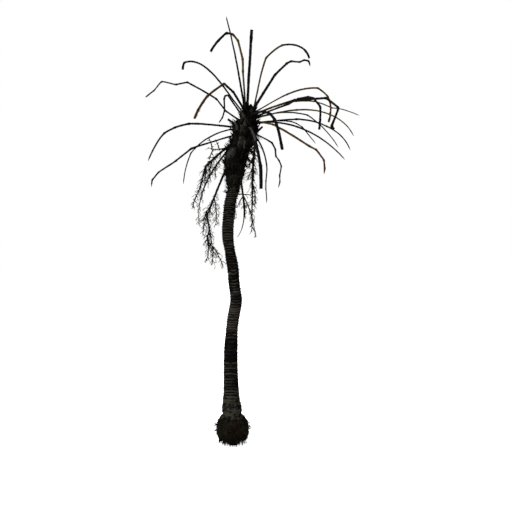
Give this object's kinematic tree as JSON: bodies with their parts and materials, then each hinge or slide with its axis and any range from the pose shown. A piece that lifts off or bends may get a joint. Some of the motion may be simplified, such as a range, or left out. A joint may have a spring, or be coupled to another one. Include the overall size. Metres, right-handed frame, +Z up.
{
  "type": "dead palm tree",
  "caption": "Dead, charred feather palm: a ringed swaying trunk on a mass of roots, a swollen head of old leaf bases, bare arching frond ribs and hanging dry flower stalks.",
  "frame": {"origin": "middle of the flat cut at ground level, under the foot of the trunk", "axes": "+Z up along the trunk, +X to the right of the front view, +Y away from the front view"},
  "size_m": [5.1252, 3.6315, 9.8552],
  "materials": {
    "trunk_bark": "charred ringed bark, matt",
    "leaf_base": "charred fibrous leaf bases, matt",
    "frond_rib_black": "charred rib, matt",
    "frond_rib_brown": "scorched brown rib, satin",
    "flower_stalk": "dry fibrous stalk, matt",
    "root_fibre": "dry matted root fibre, matt"
  },
  "bodies": {
    "root": {"flower_stalk_back": "flower_stalk", "flower_stalk_front": "flower_stalk", "flower_stalk_left_back": "flower_stalk", "flower_stalk_left_long": "flower_stalk", "flower_stalk_left_thin": "flower_stalk", "flower_stalk_left_upper": "flower_stalk", "flower_stalk_right_upper": "flower_stalk", "frond_01": "frond_rib_black", "frond_02": "frond_rib_black", "frond_03_end": "frond_rib_brown", "frond_03_foot": "frond_rib_brown", "frond_04_end": "frond_rib_brown", "frond_04_foot": "frond_rib_brown", "frond_05": "frond_rib_black", "frond_06_end": "frond_rib_brown", "frond_06_foot": "frond_rib_brown", "frond_07": "frond_rib_black", "frond_08_end": "frond_rib_black", "frond_08_foot": "frond_rib_black", "frond_09_end": "frond_rib_black", "frond_09_foot": "frond_rib_black", "frond_10_end": "frond_rib_black", "frond_10_foot": "frond_rib_black", "frond_11_end": "frond_rib_black", "frond_11_foot": "frond_rib_black", "frond_12": "frond_rib_black", "frond_13_end": "frond_rib_brown", "frond_13_foot": "frond_rib_brown", "frond_14_end": "frond_rib_black", "frond_14_foot": "frond_rib_black", "frond_15_end": "frond_rib_black", "frond_15_foot": "frond_rib_black", "frond_16_end": "frond_rib_brown", "frond_16_foot": "frond_rib_brown", "frond_17": "frond_rib_brown", "frond_18_end": "frond_rib_black", "frond_18_foot": "frond_rib_black", "frond_19_end": "frond_rib_black", "frond_19_foot": "frond_rib_black", "frond_20": "frond_rib_black", "frond_21": "frond_rib_black", "frond_22": "frond_rib_brown", "frond_23": "frond_rib_black", "frond_24": "frond_rib_black", "frond_25_end": "frond_rib_black", "frond_25_foot": "frond_rib_black", "frond_26": "frond_rib_black", "frond_27_end": "frond_rib_black", "frond_27_foot": "frond_rib_black", "frond_28_end": "frond_rib_black", "frond_28_foot": "frond_rib_black", "frond_29_end": "frond_rib_black", "frond_29_foot": "frond_rib_black", "frond_30": "frond_rib_black", "frond_31": "frond_rib_black", "leaf_base_head": "leaf_base", "root_mass": "root_fibre", "trunk": "trunk_bark"}
  },
  "joints": []
}
